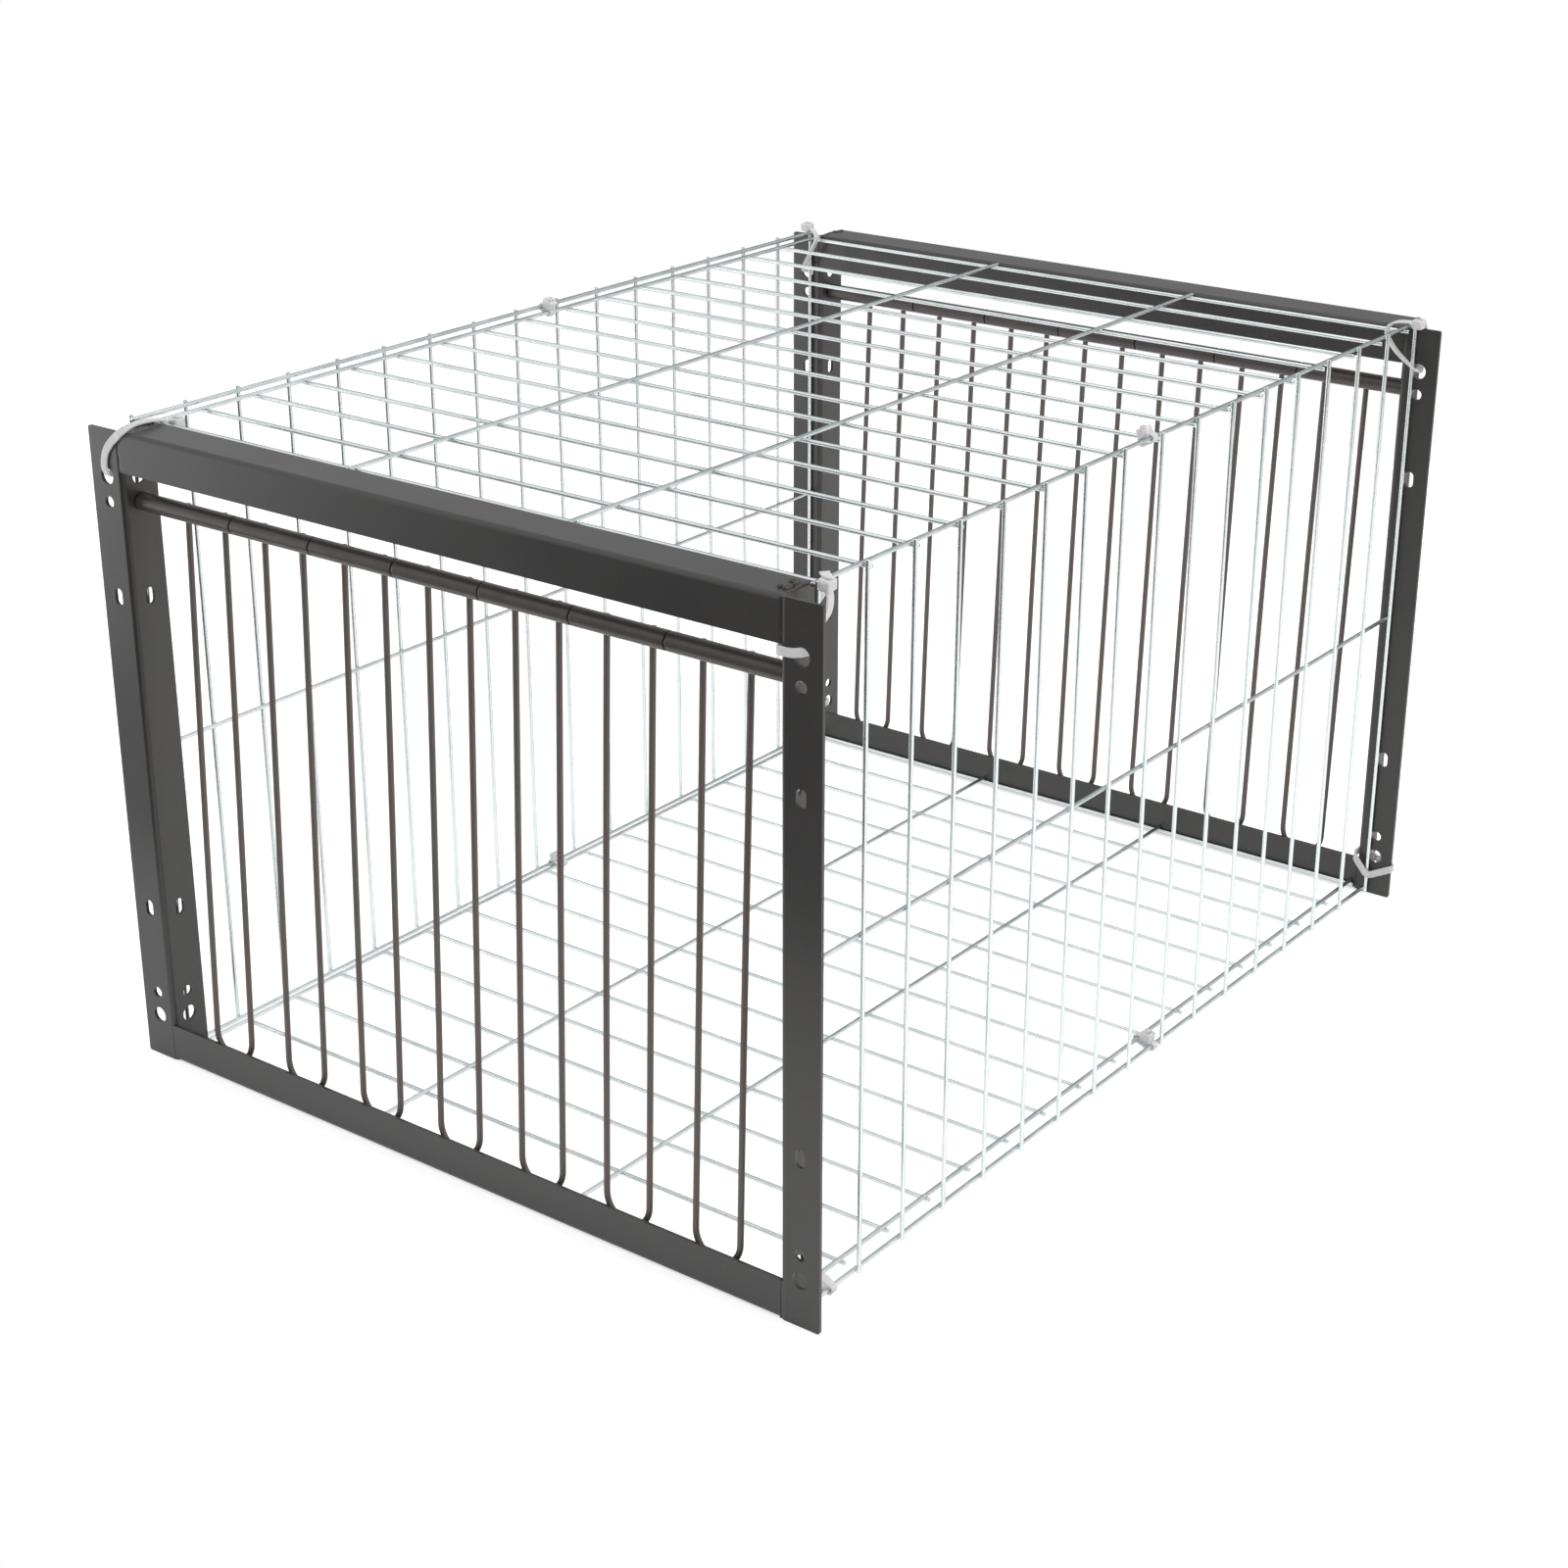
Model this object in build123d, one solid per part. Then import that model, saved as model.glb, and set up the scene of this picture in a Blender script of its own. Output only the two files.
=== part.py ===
from build123d import *
from math import cos, radians, sin
import os

# Pigeon trap cage: two alike end frames with swinging bob wires, and a welded mesh tunnel between them.
# Lengths are in millimetres. +X is to the right of a bird walking in, +Y is the way it walks, +Z is up.
# The origin is at ground level, in the middle of the cage.

# The cage as a whole
frame_height = 300.0
opening_width = 350.0
frame_spacing = 500.0

# Folded steel angle of the posts and bars
sheet = 1.5
bend_radius = 2.2
corner_radius = 1.0
post_leg = 19.0
bar_face = 18.0
bar_depth = 20.0
overall_depth = frame_spacing + bar_depth
front_face = -overall_depth / 2

# Punched holes in both legs of a post, measured from each end of the post
hole_inset = 9.5
tie_hole_end = 21.0
tie_hole_diameter = 7.5
small_hole_end = 32.5
small_hole_diameter = 5.2
slot_end = 75.4
slot_width = 4.6
slot_length = 8.0

# Axle rod, which stands in the small holes near the top of the posts
axle_diameter = 5.0
axle_overhang = 2.0
axle_height = frame_height - small_hole_end

# Bobs: a turning sleeve with a U of wire welded along its back
bob_count = 7
leg_pitch = opening_width / (2 * bob_count + 1)
bob_pitch = 2 * leg_pitch
leg_spacing = 22.6
sleeve_diameter = 8.0
sleeve_bore = axle_diameter + 0.16
sleeve_gap = 0.7
bob_wire_diameter = 2.7
bob_weld_depth = 0.45
bob_lean = 2.15
bob_bottom_height = 10.6
bob_wire_end = 2.2

# Wires are drawn eight-sided across their flats, which keeps so many of them light
wire_sides = 8

# Welded mesh panels
mesh_wire = 2.0
weld_sink = 0.3
mesh_clearance = 0.3
cross_count = 17
top_edge_x = 176.0
top_overhang = 2.6
floor_edge_x = 172.4
floor_overhang = 2.2
top_wire_height = 299.5
floor_wire_height = 4.4
side_wire_x = 179.9
side_top = 301.7
side_bottom = 2.4
upright_overhang = 1.5
top_start = bar_depth + mesh_clearance
low_start = 12.4
mesh_end = frame_spacing - mesh_clearance
layer_step = mesh_wire - weld_sink
upright_x = side_wire_x + layer_step

# Nylon cable ties
strap_width = 3.6
strap = 1.1
strap_slack = 0.2
strap_stand = strap / 2 + 0.25
strap_corner = 1.3
head_length = 5.6
head_width = 5.4
head_height = 4.4
top_left_tie_at = 275.0
top_right_tie_at = 250.0
floor_left_tie_at = 267.0
floor_right_tie_at = 281.0

# Ways that the width of a strap can lie
ACROSS = (1, 0, 0)
ALONG = (0, 1, 0)
UPWARD = (0, 0, 1)


def wire_section(diameter):
    """Cross-section of a wire, with a flat on each of its four sides."""
    return RegularPolygon(diameter / 2, wire_sides, major_radius=False, rotation=180 / wire_sides)


def angle_bar(place, leg_x, leg_y, length):
    """A folded angle whose legs run along the plane's X and Y from the outside of the fold."""
    outline = [(0, 0), (leg_x, 0), (leg_x, sheet), (sheet, sheet), (sheet, leg_y), (0, leg_y)]
    section = make_face(Polyline(outline, close=True))
    fold = section.vertices().sort_by_distance((0, 0))
    section = fillet(fold[0], bend_radius)
    inner = section.vertices().sort_by_distance((sheet, sheet))[0]
    section = fillet(inner, bend_radius - sheet)
    return extrude(place * section, length)


def punched_holes(leg):
    """Cutters for one leg of a post, with the leg's middle line on the plane's Y axis."""
    cutter = Part()
    for end, way in ((0, 1), (frame_height, -1)):
        round_holes = Pos(0, end + way * tie_hole_end) * Circle(tie_hole_diameter / 2)
        round_holes += Pos(0, end + way * small_hole_end) * Circle(small_hole_diameter / 2)
        slot = Pos(0, end + way * slot_end) * SlotOverall(slot_length, slot_width, rotation=90)
        cutter += extrude(leg * (round_holes + slot), bend_radius + sheet, both=True)
    return cutter


def post():
    """Right-hand post: one leg outward in the face of the frame, the other straight back."""
    corner = opening_width / 2
    solid = angle_bar(Plane((corner, 0, 0)), post_leg, post_leg, frame_height)
    outer_corners = solid.edges().filter_by(Axis.Y).group_by(Axis.X)[-1]
    rear_corners = solid.edges().filter_by(Axis.X).group_by(Axis.Y)[-1]
    solid = fillet(outer_corners + rear_corners, corner_radius)
    outward = Plane((corner + hole_inset, 0, 0), x_dir=(1, 0, 0), z_dir=(0, -1, 0))
    rearward = Plane((corner, hole_inset, 0), x_dir=(0, 1, 0), z_dir=(1, 0, 0))
    return solid - punched_holes(outward) - punched_holes(rearward)


def end_frame():
    """Posts, bars and axle of one frame, with the frame's front face at Y = 0."""
    half = opening_width / 2
    right = post()
    under_top = Plane((-half, 0, frame_height), x_dir=(0, 0, -1), z_dir=(1, 0, 0))
    on_ground = Plane((half, 0, 0), x_dir=(0, 0, 1), z_dir=(-1, 0, 0))
    axle_length = opening_width + 2 * (sheet + axle_overhang)
    axle = Pos(0, hole_inset, axle_height) * Rot(0, 90, 0) * Cylinder(axle_diameter / 2, axle_length)
    return {
        "left_post": mirror(right, about=Plane.YZ),
        "right_post": right,
        "top_bar": angle_bar(under_top, bar_face, bar_depth, opening_width),
        "bottom_bar": angle_bar(on_ground, bar_face, bar_depth, opening_width),
        "axle": axle,
    }


def bob_sleeve(start, end):
    """Tube that turns on the axle, between two places along it."""
    ring = Circle(sleeve_diameter / 2) - Circle(sleeve_bore / 2)
    across = Plane((start, hole_inset, axle_height), x_dir=(0, 1, 0), z_dir=(1, 0, 0))
    return extrude(across * ring, end - start)


def bob_wire(middle):
    """U of wire, welded to the back of its sleeve, hanging with its weight below the axle."""
    lean = radians(bob_lean)
    back = (sleeve_diameter + bob_wire_diameter) / 2 - bob_weld_depth
    origin = (middle, hole_inset + back * cos(lean), axle_height - back * sin(lean))
    hanging = Plane(origin, x_dir=(1, 0, 0), z_dir=(0, -cos(lean), sin(lean)))
    side = leg_spacing / 2
    bend_start = (bob_bottom_height - origin[2]) / cos(lean) + side
    bend_axis = Axis(hanging.from_local_coords((0, bend_start, 0)), hanging.z_dir)
    cuts = []
    for leg_x in (-side, side):
        foot = hanging.from_local_coords((leg_x, bend_start, 0))
        cuts.append(Plane(foot, x_dir=hanging.x_dir, z_dir=hanging.y_dir) * wire_section(bob_wire_diameter))
    wire = revolve(cuts[0], bend_axis, 180)
    for cut in cuts:
        wire += extrude(cut, bob_wire_end - bend_start)
    axis = Pos(middle, hole_inset, axle_height) * Rot(0, 90, 0)
    return wire - axis * Cylinder(sleeve_diameter / 2, bob_pitch)


def bobs():
    """The row of bobs of one frame, each a sleeve and a wire. The end sleeves run out to the posts."""
    row = {}
    reach = opening_width / 2 - sleeve_gap / 2
    for index in range(bob_count):
        middle = (index - (bob_count - 1) / 2) * bob_pitch
        start = -reach if index == 0 else middle - bob_pitch / 2 + sleeve_gap / 2
        end = reach if index == bob_count - 1 else middle + bob_pitch / 2 - sleeve_gap / 2
        row[f"bob_sleeve_{index + 1}"] = bob_sleeve(start, end)
        row[f"bob_wire_{index + 1}"] = bob_wire(middle)
    return row


def mesh_panel(long_wires, cross_ends, start):
    """Flat welded panel: long wires along Y on top, evenly spaced cross wires along X below them."""
    length = mesh_end - start
    wire = wire_section(mesh_wire)
    along = Plane((0, start, 0), x_dir=(1, 0, 0), z_dir=(0, 1, 0))
    across = Plane((cross_ends[0], 0, -layer_step), x_dir=(0, 1, 0), z_dir=(1, 0, 0))
    pitch = (length - mesh_wire) / (cross_count - 1)
    long_set = Sketch() + [Pos(x, 0) * wire for x in long_wires]
    cross_places = [start + mesh_wire / 2 + index * pitch for index in range(cross_count)]
    cross_set = Sketch() + [Pos(y, 0) * wire for y in cross_places]
    long_part = extrude(along * long_set, length)
    cross_part = extrude(across * cross_set, cross_ends[1] - cross_ends[0])
    return long_part + cross_part


def flat_panel(edge, overhang, start):
    """Panel of the top or the floor: a long wire at each edge and two between them."""
    reach = edge + overhang
    return mesh_panel([-edge, -edge / 3, edge / 3, edge], (-reach, reach), start)


def tunnel():
    """The four mesh panels between the frames. The floor lies between the legs of the posts."""
    middle = (side_top + side_bottom) / 2
    ends = (side_bottom - upright_overhang, side_top + upright_overhang)
    upright = Plane((side_wire_x, 0, 0), x_dir=(0, 0, 1), z_dir=(-1, 0, 0))
    right = upright.location * mesh_panel([side_bottom, middle, side_top], ends, low_start)
    return {
        "top_panel": Pos(0, 0, top_wire_height) * flat_panel(top_edge_x, top_overhang, top_start),
        "floor_panel": Pos(0, 0, floor_wire_height) * flat_panel(floor_edge_x, floor_overhang, low_start),
        "left_panel": mirror(right, about=Plane.YZ),
        "right_panel": right,
    }


def strap_loop(place, inside):
    """A strap bent flat round the inside outline, as wide as a strap across the plane."""
    face = make_face(Polyline(inside, close=True))
    face = fillet(face.vertices(), strap_corner)
    band = offset(face, strap) - face
    return extrude(place * band, strap_width / 2, both=True)


def tie_head(place):
    """The block that locks a strap, lying flat on the plane."""
    return extrude(place * RectangleRounded(head_length, head_width, strap / 2), head_height)


def edge_tie(flat_edge, flat_height, side_height, place):
    """Tie round the two wires of a long edge, at a place along the tunnel."""
    gap = mesh_wire / 2 + strap_slack
    left, right = flat_edge - gap, side_wire_x + gap
    low, high = min(flat_height, side_height) - gap, max(flat_height, side_height) + gap
    across = Plane((0, place, 0), x_dir=(1, 0, 0), z_dir=(0, -1, 0))
    loop = strap_loop(across, [(left, low), (right, low), (right, high), (left, high)])
    head = tie_head(Plane(((left + right) / 2, place, high + strap / 2)))
    return loop + head


def free_tie(route, head_place):
    """A strap along a route of its own, which starts and ends inside its head.
    Each stop of the route is a point and the way the width of the strap lies there."""
    points = [Vector(*point) for point, _ in route]
    sections = []
    for index, (_, width) in enumerate(route):
        before = points[max(index - 1, 0)]
        after = points[min(index + 1, len(points) - 1)]
        place = Plane(points[index], x_dir=width, z_dir=after - before)
        sections.append(place * Rectangle(strap_width, strap))
    return loft(sections, ruled=True) + tie_head(head_place)


def over_tie(face, way, first_cross, climb):
    """Tie through the outward leg of a post, over the top of the post and round the corner of the tunnel.
    The face is the side of the leg away from the tunnel, and the way is from there towards the tunnel.
    The climb is the strap's way from the head down to the hole: places across, depths from the face and heights."""
    hole_x = opening_width / 2 + hole_inset
    hole_z = frame_height - tie_hole_end
    head_at = first_cross + 4.2
    wrap_at = first_cross + 7.0
    behind = sheet + 0.9
    run = wrap_at - behind
    head_x = (top_edge_x + side_wire_x) / 2 + 0.5
    lap = side_top + mesh_wire / 2 + strap_stand
    under = top_wire_height - mesh_wire / 2 - strap_stand
    inner = top_edge_x - mesh_wire / 2 - strap_stand
    stops = [(head_x, head_at, lap + 0.4, ACROSS)]
    stops += [(x, depth, z, ACROSS) for x, depth, z in climb]
    stops += [
        (hole_x, sheet / 2, hole_z + 0.5, ACROSS),
        (hole_x, behind, hole_z + 0.4, ACROSS),
        (hole_x + 0.3, behind + 1.6, hole_z + 1.8, ACROSS),
        (hole_x + 0.5, behind + run * 0.45, hole_z + 9.5, ACROSS),
        (hole_x + 0.6, behind + run * 0.78, hole_z + 15.0, ACROSS),
        (side_wire_x + 3.2, wrap_at - 1.4, under - 0.7, (1, way, 0)),
        (side_wire_x + 0.2, wrap_at, under - 0.1, ALONG),
        (top_edge_x - 0.6, wrap_at, under, ALONG),
        (inner, wrap_at - 0.2, under + 1.2, ALONG),
        (inner, wrap_at - 0.6, top_wire_height + 0.7, ALONG),
        (top_edge_x - 0.4, wrap_at - 1.4, lap, ALONG),
        (head_x, head_at + 0.8, lap + 0.4, ALONG),
    ]
    route = []
    for x, depth, z, width in stops:
        lies = (width[0], width[1] * way, width[2]) if width == ALONG else width
        route.append(((x, face + way * depth, z), lies))
    seat = (head_x, face + way * (head_at + 0.6), lap - strap / 2)
    return free_tie(route, Plane(seat))


def corner_tie(hole_z, reach):
    """Tie through the outward leg of a front post, round its other leg and the corner of the tunnel behind it.
    The reach is the height at which the strap lies over the long wires."""
    corner = opening_width / 2
    hole_x = corner + hole_inset
    rise = reach - hole_z
    inner = corner - strap_stand - strap_slack / 2
    head_x = (top_edge_x + side_wire_x) / 2 + 0.5
    wrap_at = top_start + mesh_wire + 5.2
    on_edge = (0, 0, -1)
    route = [
        ((head_x, wrap_at - 0.2, reach + 0.4), ALONG),
        ((top_edge_x - 0.9, wrap_at, reach), ALONG),
        ((inner, wrap_at - 0.1, reach - 1.6), ALONG),
        ((inner, wrap_at - 1.3, hole_z + rise * 0.74), ALONG),
        ((inner, bar_depth + 0.5, hole_z + rise * 0.52), (0, 1, -1)),
        ((inner, bar_depth * 0.4, hole_z + rise * 0.17), (0, 1, -2)),
        ((inner, sheet + 0.5, hole_z + 0.3), on_edge),
        ((corner - 0.7, -0.5, hole_z), on_edge),
        ((corner + 0.4, -strap_stand, hole_z), on_edge),
        ((hole_x - 2.6, -strap_stand, hole_z), on_edge),
        ((hole_x - 0.1, sheet / 2 - 0.5, hole_z), on_edge),
        ((hole_x + 0.4, sheet + 0.7, hole_z), on_edge),
        ((hole_x + 0.1, sheet + 3.5, hole_z + rise * 0.06), on_edge),
        ((hole_x - 0.6, bar_depth * 0.75, hole_z + rise * 0.35), (0, 1, -2)),
        ((upright_x + 2.2, top_start + mesh_wire + 1.2, hole_z + rise * 0.65), (0, 1, -1)),
        ((upright_x + 1.3, wrap_at - 0.6, hole_z + rise * 0.85), ALONG),
        ((upright_x + 0.5, wrap_at, reach - 0.8), ALONG),
        ((head_x + 0.6, wrap_at, reach + 0.3), ALONG),
    ]
    return free_tie(route, Plane((head_x, wrap_at, reach - strap / 2)))


def low_tie():
    """Tie through the rear-pointing leg of a front post, round the wires of the tunnel's lower edge."""
    corner = opening_width / 2
    inner = corner - strap_stand - strap_slack / 2
    outer = corner + sheet + strap_stand + strap_slack / 2
    wrap_at = top_start + mesh_wire + 4.4
    under = side_bottom - mesh_wire / 2 - strap / 2 - strap_slack
    slanting = (0, 1, 1)
    route = [
        ((inner, 17.6, 13.4), slanting),
        ((inner, wrap_at - 5.0, 9.6), slanting),
        ((floor_edge_x + 0.2, wrap_at - 1.2, floor_wire_height + 2.6), (0, 2, 1)),
        ((floor_edge_x - mesh_wire / 2 - strap_stand, wrap_at - 0.5, floor_wire_height + 0.4), ALONG),
        ((floor_edge_x - 0.9, wrap_at, under + 1.6), ALONG),
        ((side_wire_x - 0.6, wrap_at, under), ALONG),
        ((side_wire_x + 1.1, wrap_at, under + 0.1), ALONG),
        ((side_wire_x + mesh_wire / 2 + strap_stand, wrap_at - 0.2, side_bottom + 0.6), ALONG),
        ((side_wire_x - 0.6, wrap_at - 2.4, side_bottom + 4.8), (0, 2, 1)),
        ((outer + 0.5, 18.0, 13.0), slanting),
        ((outer, 11.2, 19.4), slanting),
        ((corner + sheet / 2, hole_inset + 0.2, tie_hole_end - 0.2), slanting),
        ((inner + 0.2, 11.2, 19.4), slanting),
        ((inner, 16.4, 14.5), slanting),
    ]
    seat = (inner + strap / 4, 17.0, 13.9)
    return free_tie(route, Plane(seat, x_dir=(0, 1, -0.9), z_dir=(-1, 0, 0)))


def foot_tie():
    """Tie round the foot of a rear post: from its head behind the outward leg, round the leg's edge and the tunnel's
    last upright, and back through the hole in the other leg."""
    corner = opening_width / 2
    edge = corner + post_leg
    front, back = frame_spacing, frame_spacing + sheet
    last_upright = mesh_end - mesh_wire / 2
    inner = corner - strap_stand - strap_slack / 2
    in_hole = (corner + sheet / 2, frame_spacing + hole_inset, tie_hole_end)
    stops = [
        (edge - 6.5, back + 2.2, 17.6),
        (edge - 1.6, back + 1.4, 17.0),
        (edge + 0.3, back + 0.7, 16.8),
        (edge + 0.8, front + sheet / 2, 16.7),
        (edge + 0.3, front - 0.7, 16.5),
        (edge - 1.6, front - 1.1, 15.6),
        (edge - 7.0, front - 1.4, 12.8),
        (upright_x + 2.0, last_upright - 1.1, 11.6),
        (upright_x, last_upright - 2.1, 12.4),
        (upright_x - 2.4, last_upright - 1.8, 14.4),
        (inner + 0.6, front - 2.2, 19.4),
        (inner, front - 0.8, 20.6),
        (inner, front + 2.4, 20.8),
        (inner + 0.2, front + 8.2, 20.9),
        in_hole,
        (corner + sheet + 1.2, front + 8.6, 20.6),
        (corner + 4.8, front + 6.4, 19.4),
        (edge - 9.0, back + 2.9, 18.0),
        (edge - 7.4, back + 2.4, 17.8),
    ]
    seat = (edge - 6.4, back + 0.5, 17.6)
    return free_tie([(stop, UPWARD) for stop in stops], Plane(seat, x_dir=(1, 0, 0), z_dir=(0, 1, 0)))


def ties():
    """Ties at the corners and half way along the tunnel's four long edges. The front left foot has none."""
    hole_x = opening_width / 2 + hole_inset
    hole_z = frame_height - tie_hole_end
    over = frame_height + strap_stand
    lap = side_top + mesh_wire / 2 + strap_stand
    rear_leg = frame_spacing + sheet
    leaning = [
        (hole_x - 10.0, 17.6, lap + 1.1),
        (hole_x - 12.7, 11.0, over + 3.4),
        (hole_x - 12.7, 5.6, over + 2.6),
        (hole_x - 10.5, 1.0, over + 1.0),
        (hole_x - 8.9, -0.5, over - 0.2),
        (hole_x - 6.7, -strap_stand, hole_z + 17.4),
        (hole_x - 3.6, -strap_stand, hole_z + 11.6),
        (hole_x - 1.6, -strap_stand, hole_z + 6.8),
        (hole_x - 0.6, -strap_stand, hole_z + 2.6),
    ]
    straight = [
        (hole_x - 3.2, 4.4, lap + 1.3),
        (hole_x + 0.2, sheet + 1.7, over + 3.2),
        (hole_x, sheet - 0.2, over + 0.4),
        (hole_x, -0.4, over),
        (hole_x, -strap_stand, frame_height - 0.7),
        (hole_x, -strap_stand, hole_z + 4.0),
        (hole_x, -strap_stand, hole_z + 2.6),
    ]
    front_over = over_tie(0, 1, top_start + mesh_wire / 2, leaning)
    rear_over = over_tie(rear_leg, -1, rear_leg - mesh_end + mesh_wire / 2, straight)
    rear_low = foot_tie()
    top_left = edge_tie(top_edge_x, top_wire_height, side_top, top_left_tie_at)
    floor_left = edge_tie(floor_edge_x, floor_wire_height, side_bottom, floor_left_tie_at)
    return {
        "tie_front_top_left": mirror(front_over, about=Plane.YZ),
        "tie_front_top_right": corner_tie(hole_z, lap),
        "tie_front_floor_right": low_tie(),
        "tie_middle_top_left": mirror(top_left, about=Plane.YZ),
        "tie_middle_top_right": edge_tie(top_edge_x, top_wire_height, side_top, top_right_tie_at),
        "tie_middle_floor_left": mirror(floor_left, about=Plane.YZ),
        "tie_middle_floor_right": edge_tie(floor_edge_x, floor_wire_height, side_bottom, floor_right_tie_at),
        "tie_rear_top_left": mirror(rear_over, about=Plane.YZ),
        "tie_rear_top_right": rear_over,
        "tie_rear_floor_left": mirror(rear_low, about=Plane.YZ),
        "tie_rear_floor_right": rear_low,
    }


def cage():
    """Every piece by name, moved to the cage's own origin."""
    to_front = Pos(0, front_face, 0)
    to_rear = Pos(0, front_face + frame_spacing, 0)
    frame_pieces = end_frame() | bobs()
    pieces = {}
    for name, solid in frame_pieces.items():
        pieces[f"front_{name}"] = to_front * solid
        pieces[f"rear_{name}"] = to_rear * solid
    for name, solid in (tunnel() | ties()).items():
        pieces[name] = to_front * solid
    return pieces


os.makedirs("parts", exist_ok=True)
for node, solid in cage().items():
    export_step(solid, f"parts/{node}.step")
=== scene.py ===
"""Pigeon trap cage: finishes, wires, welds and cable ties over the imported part."""

import math
import random

import bmesh
import bpy
from mathutils import Matrix, Vector


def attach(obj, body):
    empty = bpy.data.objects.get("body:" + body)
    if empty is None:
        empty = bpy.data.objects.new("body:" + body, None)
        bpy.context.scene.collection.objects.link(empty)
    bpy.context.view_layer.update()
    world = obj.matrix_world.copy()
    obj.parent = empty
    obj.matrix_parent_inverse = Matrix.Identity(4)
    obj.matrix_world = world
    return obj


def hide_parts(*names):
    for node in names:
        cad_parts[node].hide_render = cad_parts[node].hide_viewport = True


# Lengths are in millimetres until a piece is finished. X is across, Y is the way in, Z is up.
MM = 0.001
FRONT_FACE = -260.0
REAR_FACE = 240.0
FRAME_HEIGHT = 300.0
HALF_OPENING = 175.0
SHEET = 1.5
HOLE_INSET = 9.5
BAR_FACE = 18.0
EDGE_ROUNDING = 0.22
ACROSS = (1, 0, 0)
ALONG = (0, 1, 0)
UP = (0, 0, 1)

# Welds between bars and posts
GROOVE_INSET = 0.3
GROOVE_RINGS = 18
GROOVE_WEAR = 0.04
LUMP_COUNT = 9
CALM_LUMPS = 5
LUMP_START = 5.0
LUMP_STEP = 1.6
LUMP_WAVER = 0.3
LUMP_SWAY = 0.6
LUMP_SIZE = (1.1, 1.2, 0.8)
LUMP_SINK = 0.2
SPATTER = 0.6
SPATTER_REACH = 2.5
SPATTER_RISE = 0.5
SPLASH_COUNT = 12
SPLASH_ACROSS = (0.0, 6.0)
SPLASH_ALONG = (7.0, 17.0)
SPLASH_SIZES = ((1.0, 1.8), (1.0, 2.0), (0.9, 1.8))

# Bobs
BOB_COUNT = 7
BOB_PITCH = 700.0 / 15
LEG_SPACING = 22.6
AXLE_HEIGHT = 267.5
AXLE_RADIUS = 2.5
AXLE_END = 178.5
AXLE_CHAMFER = 0.5
AXLE_CENTRE_MARK = 0.05
SLEEVE_RADIUS = 4.0
SLEEVE_BORE = 2.58
SLEEVE_GAP = 0.7
SLEEVE_RIM = 0.35
SLEEVE_SHOULDER = 0.3 * SLEEVE_RIM
BOB_WIRE_RADIUS = 1.35
BOB_BACK = 4.9
BOB_LEAN = math.radians(2.15)
BOB_BOTTOM = 10.6
BOB_TOP = 2.2
BOB_SWAY = 0.35
BEAD_COUNT = 3
BEAD_STEP = 1.2
BEAD_SINK = 0.35
BEAD_OVERLAP = 0.1
BEAD_SIZE = (0.7, 0.75, 0.9)

# Mesh
MESH_RADIUS = 1.0
LAYER_STEP = 1.7
TOP_START = FRONT_FACE + 20.3
LOW_START = FRONT_FACE + 12.4
MESH_END = REAR_FACE - 0.3
CROSS_COUNT = 17
TOP_EDGE_X = 176.0
TOP_REACH = 178.6
TOP_WIRE = 299.5
TOP_FIRST_ROW = 5.0
FLOOR_EDGE_X = 172.4
FLOOR_REACH = 174.6
FLOOR_WIRE = 4.4
SIDE_WIRE_X = 179.9
SIDE_TOP = 301.7
SIDE_BOTTOM = 2.4
UPRIGHT_OVERHANG = 1.5
ROW_WAVER = 0.35
LONG_BOW = 0.25
CROSS_BOW = 0.3
NUGGET_RADIUS = 1.05
NUGGET_SPREAD = (-0.08, 0.12)
BURR_LENGTH = 0.15
BURR_TAPER = 0.8

# Cable ties
STRAP_WIDTH = 3.6
STRAP = 1.1
STRAP_ROUNDING = 0.25
STRAP_RIM = 0.6
STRAP_SLACK = 0.15
TOOTH_PITCH = 1.1
TOOTH_DEPTH = 0.26
TOOTH_INSET = 0.7
HEAD_LENGTH = 5.6
HEAD_WIDTH = 5.4
HEAD_HEIGHT = 4.4
HEAD_RIM = 0.4
HEAD_CORNER = 0.9
RIM_CORNER = 0.6
SLOT_LENGTH = 1.9
SLOT_WIDTH = 4.0
SLOT_DEPTH = 1.6
SLOT_TAPER = 0.2
SLOT_CORNER = 0.2
STUB_ROOT = 1.8

# Stage
TABLE_DROP = 0.2
TABLE_CORNERS = [(-1200, -215), (1200, -790), (1200, 1000), (-1200, 1000)]
LAMP_AIM = (0, 0, 150)
CAMERA_PLACE = (731.98, -994.83, 617.65)
CAMERA_TURN = math.radians(37.07)
CAMERA_TILT = math.radians(22.90)

# Sockets of a mix node: its two colours, and the colour that it gives
FIRST_COLOUR = 6
SECOND_COLOUR = 7
MIXED_COLOUR = 2

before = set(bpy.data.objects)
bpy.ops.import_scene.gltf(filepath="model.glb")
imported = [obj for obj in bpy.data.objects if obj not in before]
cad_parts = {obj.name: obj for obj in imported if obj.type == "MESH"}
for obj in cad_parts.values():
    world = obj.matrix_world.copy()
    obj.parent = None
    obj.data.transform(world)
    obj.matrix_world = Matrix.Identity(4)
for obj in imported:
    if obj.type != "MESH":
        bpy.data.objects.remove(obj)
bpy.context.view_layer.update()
chance = random.Random(21)


# Finishes


def linear(hex_colour):
    """An sRGB hex colour as linear red, green, blue and alpha."""
    parts = [int(hex_colour[i : i + 2], 16) / 255 for i in (1, 3, 5)]
    return [p / 12.92 if p <= 0.04045 else ((p + 0.055) / 1.055) ** 2.4 for p in parts] + [1.0]


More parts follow.
